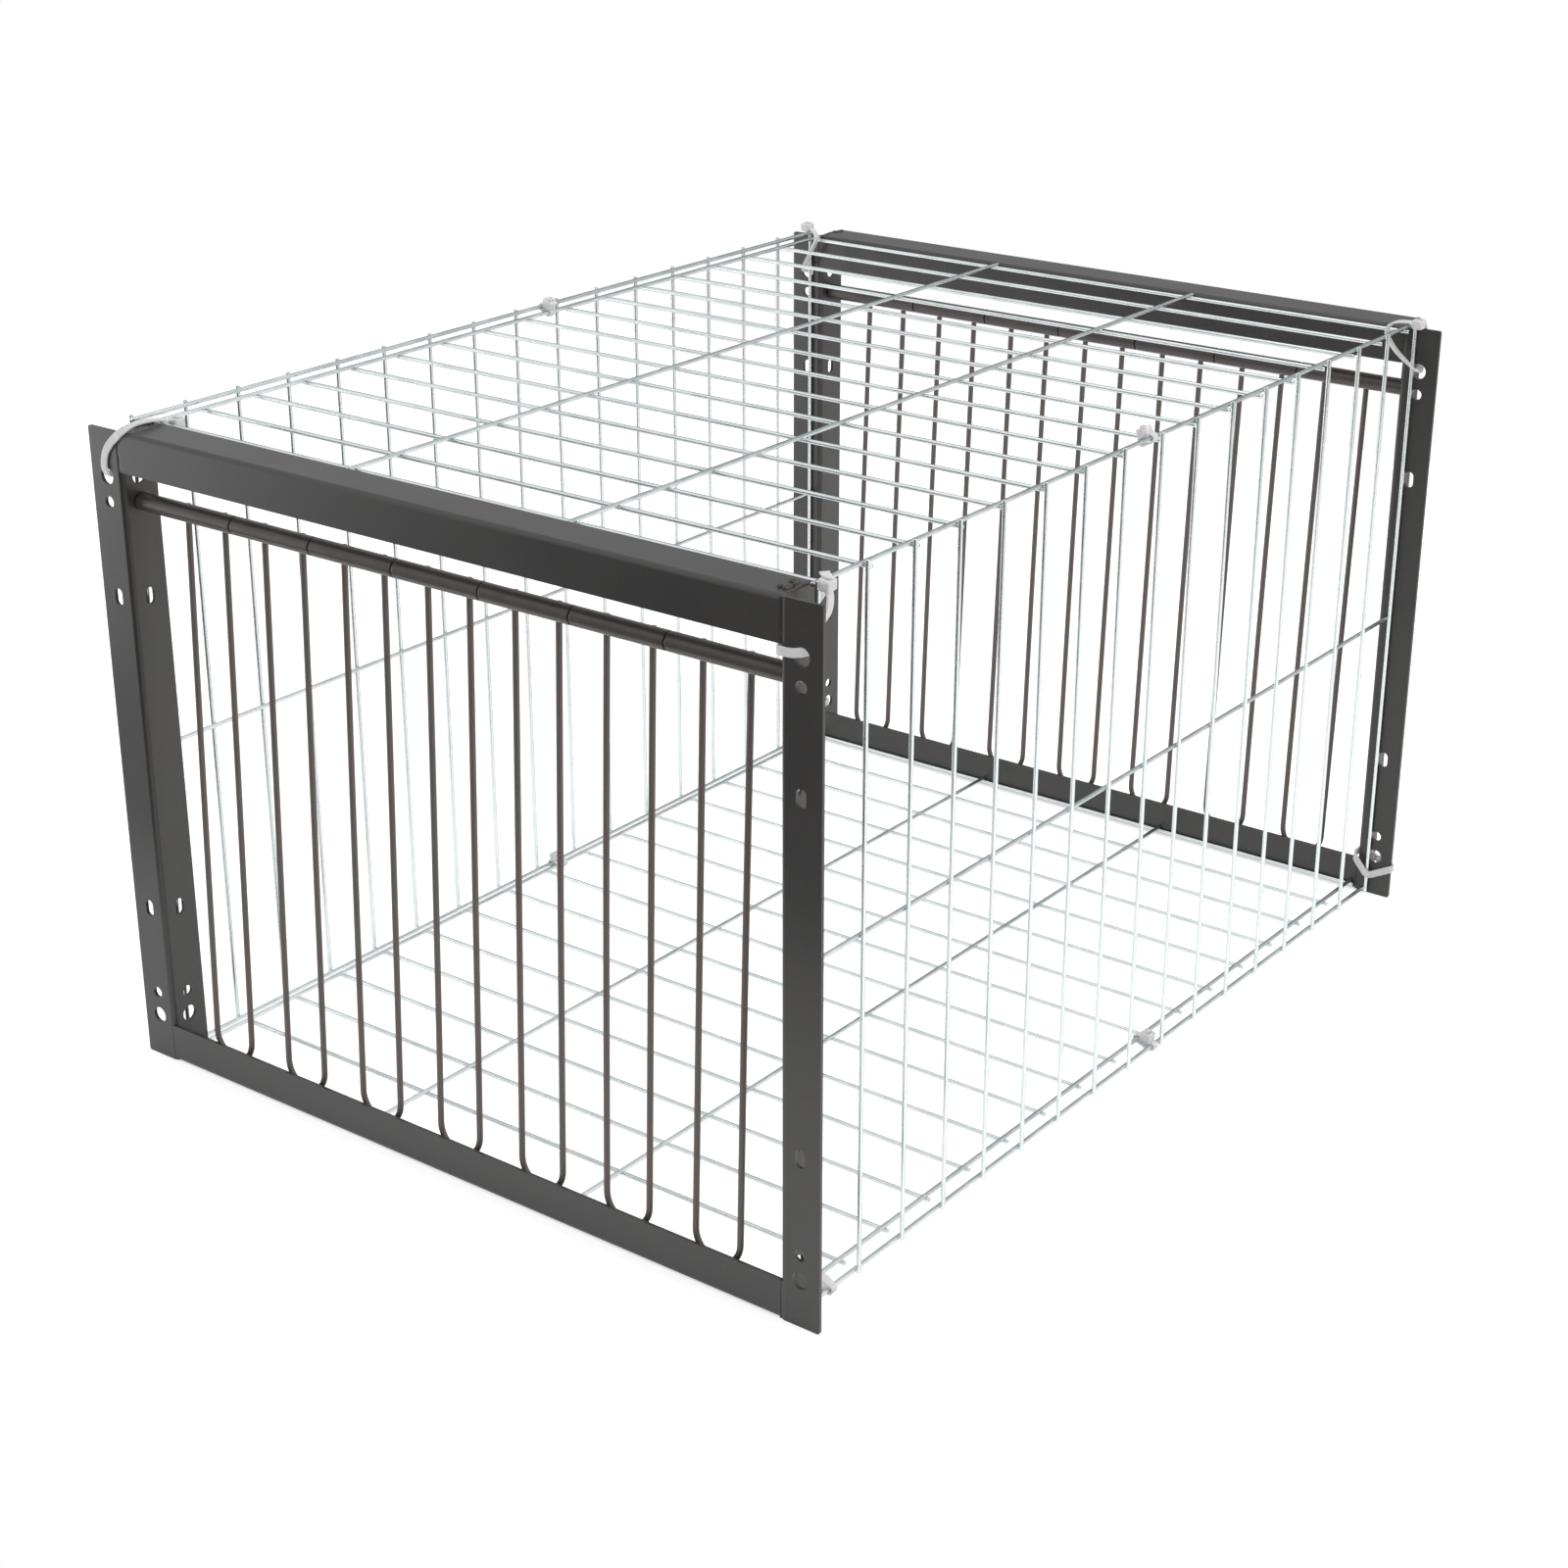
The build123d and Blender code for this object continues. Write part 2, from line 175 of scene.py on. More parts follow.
def add(tree, kind, settings=None, links=None):
    """One node, with its settings and the sockets that feed it. A setting is an attribute or a socket."""
    node = tree.nodes.new(kind)
    for name, value in (settings or {}).items():
        if isinstance(name, str) and hasattr(node, name):
            setattr(node, name, value)
        else:
            node.inputs[name].default_value = value
    for name, source in (links or {}).items():
        tree.links.new(source, node.inputs[name])
    return node


def finish(name, settings):
    """A new material with a principled surface, and the object's own place in millimetres."""
    material = bpy.data.materials.new(name)
    material.use_nodes = True
    tree = material.node_tree
    surface = tree.nodes["Principled BSDF"]
    for socket, value in settings.items():
        surface.inputs[socket].default_value = value
    place = add(tree, "ShaderNodeTexCoord")
    in_mm = add(
        tree,
        "ShaderNodeVectorMath",
        {"operation": "SCALE", "Scale": 1 / MM},
        {"Vector": place.outputs["Object"]},
    )
    return material, tree, surface, in_mm.outputs["Vector"]


def powder_coated_steel():
    """Black polyester powder, baked on folded steel: satin, with a faint orange peel and a little dust.
    The peel is about 0.6 mm on the real coat, and is drawn at 2 mm so that it shows."""
    material, tree, surface, place = finish("powder_coated_steel", {"IOR": 1.58})
    peel = add(tree, "ShaderNodeTexNoise", {"Scale": 1 / 2.0, "Detail": 2.0}, {"Vector": place})
    cloud = add(tree, "ShaderNodeTexNoise", {"Scale": 1 / 60.0, "Detail": 3.0}, {"Vector": place})
    dust = add(tree, "ShaderNodeTexNoise", {"Scale": 1 / 1.6, "Detail": 1.0}, {"Vector": place})
    specks = add(
        tree,
        "ShaderNodeMapRange",
        {"From Min": 0.70, "From Max": 0.76, "To Max": 0.05},
        {"Value": dust.outputs["Fac"]},
    )
    coat = add(
        tree,
        "ShaderNodeMix",
        {"data_type": "RGBA", FIRST_COLOUR: linear("#2b2a2a"), SECOND_COLOUR: linear("#353331")},
        {"Factor": cloud.outputs["Fac"]},
    )
    dusty = add(
        tree,
        "ShaderNodeMix",
        {"data_type": "RGBA", SECOND_COLOUR: linear("#8a8580")},
        {"Factor": specks.outputs["Result"], FIRST_COLOUR: coat.outputs[MIXED_COLOUR]},
    )
    tree.links.new(dusty.outputs[MIXED_COLOUR], surface.inputs["Base Color"])
    gloss = add(
        tree,
        "ShaderNodeMapRange",
        {"From Min": 0.3, "From Max": 0.7, "To Min": 0.34, "To Max": 0.41},
        {"Value": cloud.outputs["Fac"]},
    )
    tree.links.new(gloss.outputs["Result"], surface.inputs["Roughness"])
    bump = add(
        tree,
        "ShaderNodeBump",
        {"Strength": 0.12, "Distance": 0.05 * MM},
        {"Height": peel.outputs["Fac"]},
    )
    tree.links.new(bump.outputs["Normal"], surface.inputs["Normal"])
    return material


def rubbed_coat_edge():
    """The same coat where it is thin over a cut edge: rubbed smoother, with grey steel starting to show."""
    material, tree, surface, place = finish("rubbed_coat_edge", {"Roughness": 0.36, "IOR": 1.5})
    rub = add(tree, "ShaderNodeTexNoise", {"Scale": 1 / 5.0, "Detail": 4.0}, {"Vector": place})
    worn = add(
        tree,
        "ShaderNodeMapRange",
        {"From Min": 0.48, "From Max": 0.72},
        {"Value": rub.outputs["Fac"]},
    )
    colour = add(
        tree,
        "ShaderNodeMix",
        {"data_type": "RGBA", FIRST_COLOUR: linear("#333130"), SECOND_COLOUR: linear("#6d6966")},
        {"Factor": worn.outputs["Result"]},
    )
    tree.links.new(colour.outputs[MIXED_COLOUR], surface.inputs["Base Color"])
    return material


def coat_over_weld():
    """The same coat over a weld: it has run thin and glossy on the lumps, nearly black with burnt scale."""
    material, tree, surface, place = finish("coat_over_weld", {"Roughness": 0.25, "IOR": 1.58})
    scale = add(tree, "ShaderNodeTexNoise", {"Scale": 1 / 1.5, "Detail": 3.0}, {"Vector": place})
    colour = add(
        tree,
        "ShaderNodeMix",
        {"data_type": "RGBA", FIRST_COLOUR: linear("#171514"), SECOND_COLOUR: linear("#34302d")},
        {"Factor": scale.outputs["Fac"]},
    )
    tree.links.new(colour.outputs[MIXED_COLOUR], surface.inputs["Base Color"])
    bump = add(
        tree,
        "ShaderNodeBump",
        {"Strength": 0.3, "Distance": 0.2 * MM},
        {"Height": scale.outputs["Fac"]},
    )
    tree.links.new(bump.outputs["Normal"], surface.inputs["Normal"])
    return material


def black_lacquered_tube():
    """Drawn tube, polished and dipped in black lacquer: smooth and dark, with faint polishing rings.
    The rings are about 0.3 mm wide on a real tube, and are drawn at 1.5 mm so that they show."""
    material, tree, surface, place = finish("black_lacquered_tube", {"IOR": 1.5})
    parts = add(tree, "ShaderNodeSeparateXYZ", None, {"Vector": place})
    rings = add(
        tree,
        "ShaderNodeTexNoise",
        {"noise_dimensions": "1D", "Scale": 1 / 1.5, "Detail": 3.0},
        {"W": parts.outputs["X"]},
    )
    smear = add(tree, "ShaderNodeTexNoise", {"Scale": 1 / 12.0, "Detail": 3.0}, {"Vector": place})
    colour = add(
        tree,
        "ShaderNodeMix",
        {"data_type": "RGBA", FIRST_COLOUR: linear("#3b3635"), SECOND_COLOUR: linear("#524b48")},
        {"Factor": smear.outputs["Fac"]},
    )
    tree.links.new(colour.outputs[MIXED_COLOUR], surface.inputs["Base Color"])
    gloss = add(
        tree,
        "ShaderNodeMapRange",
        {"From Min": 0.35, "From Max": 0.65, "To Min": 0.30, "To Max": 0.36},
        {"Value": rings.outputs["Fac"]},
    )
    tree.links.new(gloss.outputs["Result"], surface.inputs["Roughness"])
    return material


def black_lacquered_wire():
    """Drawn steel wire under thin black lacquer, which leaves it a warm brown grey with long draw marks.
    The marks are about 0.1 mm wide on real wire, and are drawn at 0.8 mm so that they show."""
    material, tree, surface, place = finish("black_lacquered_wire", {"Roughness": 0.42, "IOR": 1.5})
    stretch = add(
        tree,
        "ShaderNodeMapping",
        {"Scale": (1 / 0.8, 1 / 0.8, 1 / 30.0)},
        {"Vector": place},
    )
    marks = add(
        tree,
        "ShaderNodeTexNoise",
        {"Scale": 1.0, "Detail": 3.0},
        {"Vector": stretch.outputs["Vector"]},
    )
    colour = add(
        tree,
        "ShaderNodeMix",
        {"data_type": "RGBA", FIRST_COLOUR: linear("#544e4b"), SECOND_COLOUR: linear("#6a635e")},
        {"Factor": marks.outputs["Fac"]},
    )
    tree.links.new(colour.outputs[MIXED_COLOUR], surface.inputs["Base Color"])
    bump = add(
        tree,
        "ShaderNodeBump",
        {"Strength": 0.1, "Distance": 0.05 * MM},
        {"Height": marks.outputs["Fac"]},
    )
    tree.links.new(bump.outputs["Normal"], surface.inputs["Normal"])
    return material


def plain_steel_rod():
    """Bare drawn steel rod, dulled by handling: a plain grey with a soft shine and a patchy film."""
    material, tree, surface, place = finish("plain_steel_rod", {"Metallic": 1.0, "Roughness": 0.4})
    film = add(tree, "ShaderNodeTexNoise", {"Scale": 1 / 6.0, "Detail": 3.0}, {"Vector": place})
    colour = add(
        tree,
        "ShaderNodeMix",
        {"data_type": "RGBA", FIRST_COLOUR: linear("#5a5653"), SECOND_COLOUR: linear("#8b8783")},
        {"Factor": film.outputs["Fac"]},
    )
    tree.links.new(colour.outputs[MIXED_COLOUR], surface.inputs["Base Color"])
    return material


def bright_zinc_wire():
    """Wire electroplated with zinc after welding: bright and cool, with cloudy patches and dim glancing
    reflections. The plating's grain is finer than 0.1 mm, and is drawn at 1.2 mm so that it shows."""
    material, tree, surface, place = finish(
        "bright_zinc_wire", {"Metallic": 1.0, "Specular Tint": linear("#646d6e")}
    )
    patch = add(tree, "ShaderNodeTexNoise", {"Scale": 1 / 14.0, "Detail": 4.0}, {"Vector": place})
    grain = add(tree, "ShaderNodeTexNoise", {"Scale": 1 / 1.2, "Detail": 2.0}, {"Vector": place})
    colour = add(
        tree,
        "ShaderNodeMix",
        {"data_type": "RGBA", FIRST_COLOUR: linear("#cdd7d8"), SECOND_COLOUR: linear("#f0f4f4")},
        {"Factor": patch.outputs["Fac"]},
    )
    tree.links.new(colour.outputs[MIXED_COLOUR], surface.inputs["Base Color"])
    gloss = add(
        tree,
        "ShaderNodeMapRange",
        {"From Min": 0.35, "From Max": 0.65, "To Min": 0.22, "To Max": 0.32},
        {"Value": patch.outputs["Fac"]},
    )
    tree.links.new(gloss.outputs["Result"], surface.inputs["Roughness"])
    bump = add(
        tree,
        "ShaderNodeBump",
        {"Strength": 0.08, "Distance": 0.05 * MM},
        {"Height": grain.outputs["Fac"]},
    )
    tree.links.new(bump.outputs["Normal"], surface.inputs["Normal"])
    return material


def milky_nylon():
    """Moulded natural nylon: a milky white that light soaks into, with a soft moulded sheen."""
    material, tree, surface, place = finish(
        "milky_nylon",
        {
            "Roughness": 0.42,
            "IOR": 1.53,
            "Transmission Weight": 0.35,
            "Subsurface Weight": 0.5,
            "Subsurface Radius": (1.0, 1.0, 1.05),
            "Subsurface Scale": 1.2 * MM,
        },
    )
    cloud = add(tree, "ShaderNodeTexNoise", {"Scale": 1 / 4.0, "Detail": 3.0}, {"Vector": place})
    colour = add(
        tree,
        "ShaderNodeMix",
        {"data_type": "RGBA", FIRST_COLOUR: linear("#f2f2f5"), SECOND_COLOUR: linear("#fcfcfd")},
        {"Factor": cloud.outputs["Fac"]},
    )
    tree.links.new(colour.outputs[MIXED_COLOUR], surface.inputs["Base Color"])
    bump = add(
        tree,
        "ShaderNodeBump",
        {"Strength": 0.1, "Distance": 0.05 * MM},
        {"Height": cloud.outputs["Fac"]},
    )
    tree.links.new(bump.outputs["Normal"], surface.inputs["Normal"])
    return material


# Shapes


def face_outward(shape):
    """Turns the faces of every closed part of the shape to look out of it."""
    bmesh.ops.recalc_face_normals(shape, faces=shape.faces)
    shape.normal_update()
    seen = set()
    for first in list(shape.faces):
        if first in seen:
            continue
        seen.add(first)
        part, waiting = [], [first]
        while waiting:
            face = waiting.pop()
            part.append(face)
            for other in (near for edge in face.edges for near in edge.link_faces):
                if other not in seen:
                    seen.add(other)
                    waiting.append(other)
        origin = first.verts[0].co
        volume = 0.0
        for face in part:
            volume += (face.calc_center_median() - origin).dot(face.normal) * face.calc_area()
        if volume < 0:
            bmesh.ops.reverse_faces(shape, faces=part)


def finish_piece(name, shape, material, body, nodes=()):
    """Makes an object of the shape, lets it ride on a body and stand for the named nodes."""
    face_outward(shape)
    shape.transform(Matrix.Scale(MM, 4))
    mesh = bpy.data.meshes.new(name)
    shape.to_mesh(mesh)
    shape.free()
    mesh.polygons.foreach_set("use_smooth", [True] * len(mesh.polygons))
    mesh.set_sharp_from_angle(angle=math.radians(40))
    mesh.materials.append(material)
    piece = bpy.data.objects.new(name, mesh)
    bpy.context.scene.collection.objects.link(piece)
    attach(piece, body)
    if nodes:
        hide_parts(*nodes)


def join_rings(shape, rings, closed_path=False):
    """Faces between rings of vertices, each ring with the same count. The first and last ring get a cap, or
    are joined to each other on a closed path."""
    count = len(rings[0])
    pairs = list(zip(rings, rings[1:]))
    if closed_path:
        pairs.append((rings[-1], rings[0]))
    for low, high in pairs:
        for i in range(count):
            j = (i + 1) % count
            shape.faces.new((low[i], low[j], high[j], high[i]))
    if not closed_path:
        shape.faces.new(rings[0])
        shape.faces.new(rings[-1])


def add_wire(shape, path, radius, sides=12):
    """A round wire along a path, with a narrow burr where its ends are sheared off."""
    first_burr = (path[1] - path[0]).normalized() * BURR_LENGTH
    last_burr = (path[-1] - path[-2]).normalized() * BURR_LENGTH
    path = [path[0], path[0] + first_burr, *path[1:-1], path[-1] - last_burr, path[-1]]
    side = None
    rings = []
    last = len(path) - 1
    for index, point in enumerate(path):
        way = (path[min(index + 1, last)] - path[max(index - 1, 0)]).normalized()
        if side is None:
            side = way.orthogonal().normalized()
        side = (side - way * side.dot(way)).normalized()
        other = way.cross(side)
        sheared = BURR_TAPER if index in (0, last) else 1.0
        ring = []
        for step in range(sides):
            turn = math.tau * step / sides
            spread = side * math.cos(turn) + other * math.sin(turn)
            ring.append(shape.verts.new(point + spread * radius * sheared))
        rings.append(ring)
    join_rings(shape, rings)


def add_lump(shape, centre, size):
    """A small rounded lump of metal."""
    made = bmesh.ops.create_icosphere(shape, subdivisions=2, radius=1.0)
    matrix = Matrix.Translation(centre) @ Matrix.Diagonal((*size, 1.0))
    bmesh.ops.transform(shape, matrix=matrix, verts=made["verts"])


def turned(name, profile, centre, material, body, node):
    """A piece turned about the X axis from pairs of place along X and radius, closed on itself."""
    sides = 48
    shape = bmesh.new()
    rings = []
    for x, radius in profile:
        ring = []
        for step in range(sides):
            turn = math.tau * step / sides
            spread = Vector((x, radius * math.cos(turn), radius * math.sin(turn)))
            ring.append(shape.verts.new(centre + spread))
        rings.append(ring)
    join_rings(shape, rings, closed_path=True)
    finish_piece(name, shape, material, body, [node])


# The end frames keep their solids, with the cut edges rounded off by the coat


def coat_frames(coat, edge):
    """Posts and bars: coat, and a narrow rounded edge with a finish of its own."""
    for end in ("front", "rear"):
        for name in ("left_post", "right_post", "top_bar", "bottom_bar"):
            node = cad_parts[f"{end}_{name}"]
            node.data.materials.clear()
            node.data.materials.append(coat)
            node.data.materials.append(edge)
            rounding = node.modifiers.new("rounded_edges", "BEVEL")
            rounding.width = EDGE_ROUNDING * MM
            rounding.segments = 2
            rounding.limit_method = "ANGLE"
            rounding.angle_limit = math.radians(50)
            rounding.material = 1
            rounding.harden_normals = True


def weld_groove(name, corner_x, outward, top, face, coat):
    """The weld in the groove between a bar's face and a post's, filed down and coated over."""
    low = FRAME_HEIGHT - BAR_FACE if top else 0.0
    filed = [
        (-0.3, 0.1),
        (0.6, 0.2),
        (1.4, 0.16),
        (2.2, 0.06),
        (2.2, 0.6),
        (0.9, 2.0),
        (0.0, 2.2),
        (-0.3, 1.0),
    ]
    shape = bmesh.new()
    rings = []
    for step in range(GROOVE_RINGS):
        wear = chance.uniform(-GROOVE_WEAR, GROOVE_WEAR)
        share = step / (GROOVE_RINGS - 1)
        height = low + GROOVE_INSET + (BAR_FACE - 2 * GROOVE_INSET) * share
        ring = [(corner_x + outward * x, face + y + wear, height) for x, y in filed]
        rings.append([shape.verts.new(point) for point in ring])
    join_rings(shape, rings)
    finish_piece(name, shape, coat, "cage")


def weld_edge(name, corner_x, outward, top, face, splash, slag):
    """The weld along the edge of a bar's flat leg, left lumpy, with spatter towards its rear end. A splash is
    the number of lumps that have run over the flat leg."""
    height = FRAME_HEIGHT - LUMP_SINK if top else SHEET
    wide, long, high = LUMP_SIZE
    shape = bmesh.new()
    for index in range(LUMP_COUNT):
        along = face + LUMP_START + LUMP_STEP * index + chance.uniform(-LUMP_WAVER, LUMP_WAVER)
        spatter = 0.0 if index < CALM_LUMPS else SPATTER
        inset = chance.uniform(-LUMP_SWAY, LUMP_SWAY) - SPATTER_REACH * spatter * chance.random()
        width = wide + spatter * chance.random()
        length = long + spatter * chance.random()
        size = (width, length, high + SPATTER_RISE * spatter)
        add_lump(shape, Vector((corner_x + outward * inset, along, height)), size)
    for _ in range(splash):
        inset = chance.uniform(*SPLASH_ACROSS)
        along = face + chance.uniform(*SPLASH_ALONG)
        size = [chance.uniform(*limits) for limits in SPLASH_SIZES]
        add_lump(shape, Vector((corner_x - outward * inset, along, height)), size)
    finish_piece(name, shape, slag, "cage")


def weld_frame(end, face, coat, slag):
    """The four welds of an end frame. Only the front right top one has splashed."""
    for side, outward in (("left", -1), ("right", 1)):
        corner_x = outward * HALF_OPENING
        for level, top in (("top", True), ("bottom", False)):
            splash = SPLASH_COUNT if (end, side, level) == ("front", "right", "top") else 0
            name = f"{end}_{level}_{side}_weld"
            weld_groove(f"{name}_groove", corner_x, outward, top, face, coat)
            weld_edge(f"{name}_edge", corner_x, outward, top, face, splash, slag)


# Bobs


def bob_path(middle, face):
    """Middle line of a bob's wire: down one leg, round the bend and up the other, with hand-bent waver."""
    up = Vector((0, math.sin(BOB_LEAN), math.cos(BOB_LEAN)))
    back = Vector((0, math.cos(BOB_LEAN), -math.sin(BOB_LEAN)))
    top = Vector((middle, face + HOLE_INSET, AXLE_HEIGHT)) + back * BOB_BACK
    side = LEG_SPACING / 2
    bend = (BOB_BOTTOM - top.z) / math.cos(BOB_LEAN) + side
    sway = [chance.uniform(-BOB_SWAY, BOB_SWAY) for _ in range(2)]
    leg_steps, bend_steps = 24, 24
    points = []
    for step in range(leg_steps):
        share = step / leg_steps
        points.append((-side + sway[0] * math.sin(math.pi * share), BOB_TOP + (bend - BOB_TOP) * share))
    for step in range(bend_steps + 1):
        turn = math.pi * step / bend_steps
        points.append((-side * math.cos(turn), bend - side * math.sin(turn)))
    for step in range(1, leg_steps + 1):
        share = 1 - step / leg_steps
        points.append((side + sway[1] * math.sin(math.pi * share), BOB_TOP + (bend - BOB_TOP) * share))
    return [top + Vector((x, 0, 0)) + up * rise for x, rise in points], back


def sleeve_profile(start, stop):
    """Pairs of place along X and radius round a sleeve's wall, with its rims rounded off."""
    return [
        (start + SLEEVE_RIM, SLEEVE_RADIUS),
        (start + SLEEVE_SHOULDER, SLEEVE_RADIUS - SLEEVE_SHOULDER),
        (start, SLEEVE_RADIUS - SLEEVE_RIM),
        (start, SLEEVE_BORE),
        (stop, SLEEVE_BORE),
        (stop, SLEEVE_RADIUS - SLEEVE_RIM),
        (stop - SLEEVE_SHOULDER, SLEEVE_RADIUS - SLEEVE_SHOULDER),
        (stop - SLEEVE_RIM, SLEEVE_RADIUS),
        (stop - 2 * SLEEVE_RIM, SLEEVE_RADIUS),
        (start + 2 * SLEEVE_RIM, SLEEVE_RADIUS),
    ]


def build_bobs(end, face, tube_finish, wire_finish):
    """Sleeves and wires of one end frame. Each wire has a weld bead down both sides of its legs."""
    reach = HALF_OPENING - SLEEVE_GAP / 2
    centre = Vector((0, face + HOLE_INSET, AXLE_HEIGHT))
    for index in range(BOB_COUNT):
        middle = (index - (BOB_COUNT - 1) / 2) * BOB_PITCH
        start = -reach if index == 0 else middle - BOB_PITCH / 2 + SLEEVE_GAP / 2
        stop = reach if index == BOB_COUNT - 1 else middle + BOB_PITCH / 2 - SLEEVE_GAP / 2
        body = f"{end}_bob_{index + 1}"
        profile = sleeve_profile(start, stop)
        sleeve_node = f"{end}_bob_sleeve_{index + 1}"
        turned(f"{body}_tube", profile, centre, tube_finish, body, sleeve_node)
        shape = bmesh.new()
        path, back = bob_path(middle, face)
        add_wire(shape, path, BOB_WIRE_RADIUS, sides=16)
        for leg in (-1, 1):
            for flank in (-1, 1):
                x = middle + leg * LEG_SPACING / 2 + flank * (BOB_WIRE_RADIUS - BEAD_OVERLAP)
                for bead in range(BEAD_COUNT):
                    rise = (bead - (BEAD_COUNT - 1) / 2) * BEAD_STEP
                    seat = Vector((x, centre.y, AXLE_HEIGHT + rise)) + back * (SLEEVE_RADIUS - BEAD_SINK)
                    add_lump(shape, seat, BEAD_SIZE)
        wire_node = f"{end}_bob_wire_{index + 1}"
        finish_piece(f"{body}_bent_wire", shape, wire_finish, body, [wire_node])


def build_axle(end, face, rod_finish):
    """The rod, with its ends broken by a small chamfer."""
    profile = [
        (-AXLE_END, AXLE_CENTRE_MARK),
        (-AXLE_END, AXLE_RADIUS - AXLE_CHAMFER),
        (-AXLE_END + AXLE_CHAMFER, AXLE_RADIUS),
        (AXLE_END - AXLE_CHAMFER, AXLE_RADIUS),
        (AXLE_END, AXLE_RADIUS - AXLE_CHAMFER),
        (AXLE_END, AXLE_CENTRE_MARK),
    ]
    centre = Vector((0, face + HOLE_INSET, AXLE_HEIGHT))
    turned(f"{end}_axle_rod", profile, centre, rod_finish, "cage", f"{end}_axle")


# Mesh panels


def bowed_line(begin, end, bow, steps):
    """Pairs of place along a wire and how far the wire has bowed aside there."""
    shares = [step / steps for step in range(steps + 1)]
    return [(begin + (end - begin) * share, bow * math.sin(math.pi * share)) for share in shares]


def build_panel(name, place, begin, first_row, long_places, cross_ends, zinc):
    """A welded panel. The place turns panel across, along and depth into a point of the cage."""
    shape = bmesh.new()
    pitch = (MESH_END - begin - 2 * MESH_RADIUS) / (CROSS_COUNT - 1)
    rows = []
    for index in range(CROSS_COUNT):
        rows.append(begin + MESH_RADIUS + pitch * index + chance.uniform(-ROW_WAVER, ROW_WAVER))
    rows[0] = begin + first_row
    rows[-1] = MESH_END - MESH_RADIUS
    long_steps, cross_steps = 48, 30
    for across in long_places:
        line = bowed_line(begin, MESH_END, chance.uniform(-LONG_BOW, LONG_BOW), long_steps)
        add_wire(shape, [place(across + aside, along, 0) for along, aside in line], MESH_RADIUS)
    for row in rows:
        line = bowed_line(*cross_ends, chance.uniform(-CROSS_BOW, CROSS_BOW), cross_steps)
        add_wire(shape, [place(across, row + aside, -LAYER_STEP) for across, aside in line], MESH_RADIUS)
        for across in long_places:
            size = NUGGET_RADIUS + chance.uniform(*NUGGET_SPREAD)
            add_lump(shape, place(across, row, -LAYER_STEP / 2), (size, size, size))
    finish_piece(f"{name}_welded_wire", shape, zinc, "cage", [name])


def build_mesh(zinc):
    """The four panels of the tunnel."""
    thirds = (-1, -1 / 3, 1 / 3, 1)
    build_panel(
        "top_panel",
        lambda across, along, depth: Vector((across, along, TOP_WIRE + depth)),
        TOP_START,
        TOP_FIRST_ROW,
        [TOP_EDGE_X * share for share in thirds],
        (-TOP_REACH, TOP_REACH),
        zinc,
    )
    build_panel(
        "floor_panel",
        lambda across, along, depth: Vector((across, along, FLOOR_WIRE + depth)),
        LOW_START,
        MESH_RADIUS,
        [FLOOR_EDGE_X * share for share in thirds],
        (-FLOOR_REACH, FLOOR_REACH),
        zinc,
    )
    heights = [SIDE_BOTTOM, (SIDE_BOTTOM + SIDE_TOP) / 2, SIDE_TOP]
    upright_ends = (SIDE_BOTTOM - UPRIGHT_OVERHANG, SIDE_TOP + UPRIGHT_OVERHANG)
    build_panel(
        "right_panel",
        lambda across, along, depth: Vector((SIDE_WIRE_X - depth, along, across)),
        LOW_START,
        MESH_RADIUS,
        heights,
        upright_ends,
        zinc,
    )
    build_panel(
        "left_panel",
        lambda across, along, depth: Vector((depth - SIDE_WIRE_X, along, across)),
        LOW_START,
        MESH_RADIUS,
        heights,
        upright_ends,
        zinc,
    )


# Cable ties. Their stops are given for the right-hand side, with Y from the front face of the cage.


def drawn_together(points, knots, span, place):
    """A point between each point and the next, by where the place lies among the knots that they span."""
    shares = [(place - knots[i]) / (knots[i + span] - knots[i]) for i in range(len(points) - 1)]
    return [points[i].lerp(points[i + 1], share) for i, share in enumerate(shares)]


def smooth_line(stops):
    """Points half a tooth apart on a smooth line through the stops, each with the way the strap's width
    lies."""
    points = [Vector(stop[:3]) for stop in stops]
    widths = [Vector(stop[3]).normalized() for stop in stops]
    points = [2 * points[0] - points[1], *points, 2 * points[-1] - points[-2]]
    line = []
    for index in range(len(stops) - 1):
        around = points[index : index + 4]
        knots = [0.0]
        for start, stop in zip(around, around[1:]):
            knots.append(knots[-1] + math.sqrt((stop - start).length))
        count = max(2, round((around[2] - around[1]).length / (TOOTH_PITCH / 2)))
        for step in range(count):
            share = step / count
            place = knots[1] + (knots[2] - knots[1]) * share
            nearer = drawn_together(around, knots, 1, place)
            nearest = drawn_together(nearer, knots, 2, place)
            line.append((nearest[0].lerp(nearest[1], share), widths[index].lerp(widths[index + 1], share)))
    line.append((points[-2], widths[-1]))
    return line


def strap_outline(tooth):
    """Pairs of place across the strap and out of its flat: round edges, and on the lower side a channel
    between two rims, as deep as the tooth."""
    half, thick = STRAP_WIDTH / 2, STRAP / 2
    return [
        (half - STRAP_ROUNDING, thick),
        (STRAP_ROUNDING - half, thick),
        (-half, thick - STRAP_ROUNDING),
        (-half, STRAP_ROUNDING - thick),
        (STRAP_ROUNDING - half, -thick),
        (STRAP_RIM - half, -thick),
        (TOOTH_INSET - half, tooth - thick),
        (half - TOOTH_INSET, tooth - thick),
        (half - STRAP_RIM, -thick),
        (half - STRAP_ROUNDING, -thick),
        (half, STRAP_ROUNDING - thick),
        (half, thick - STRAP_ROUNDING),
    ]


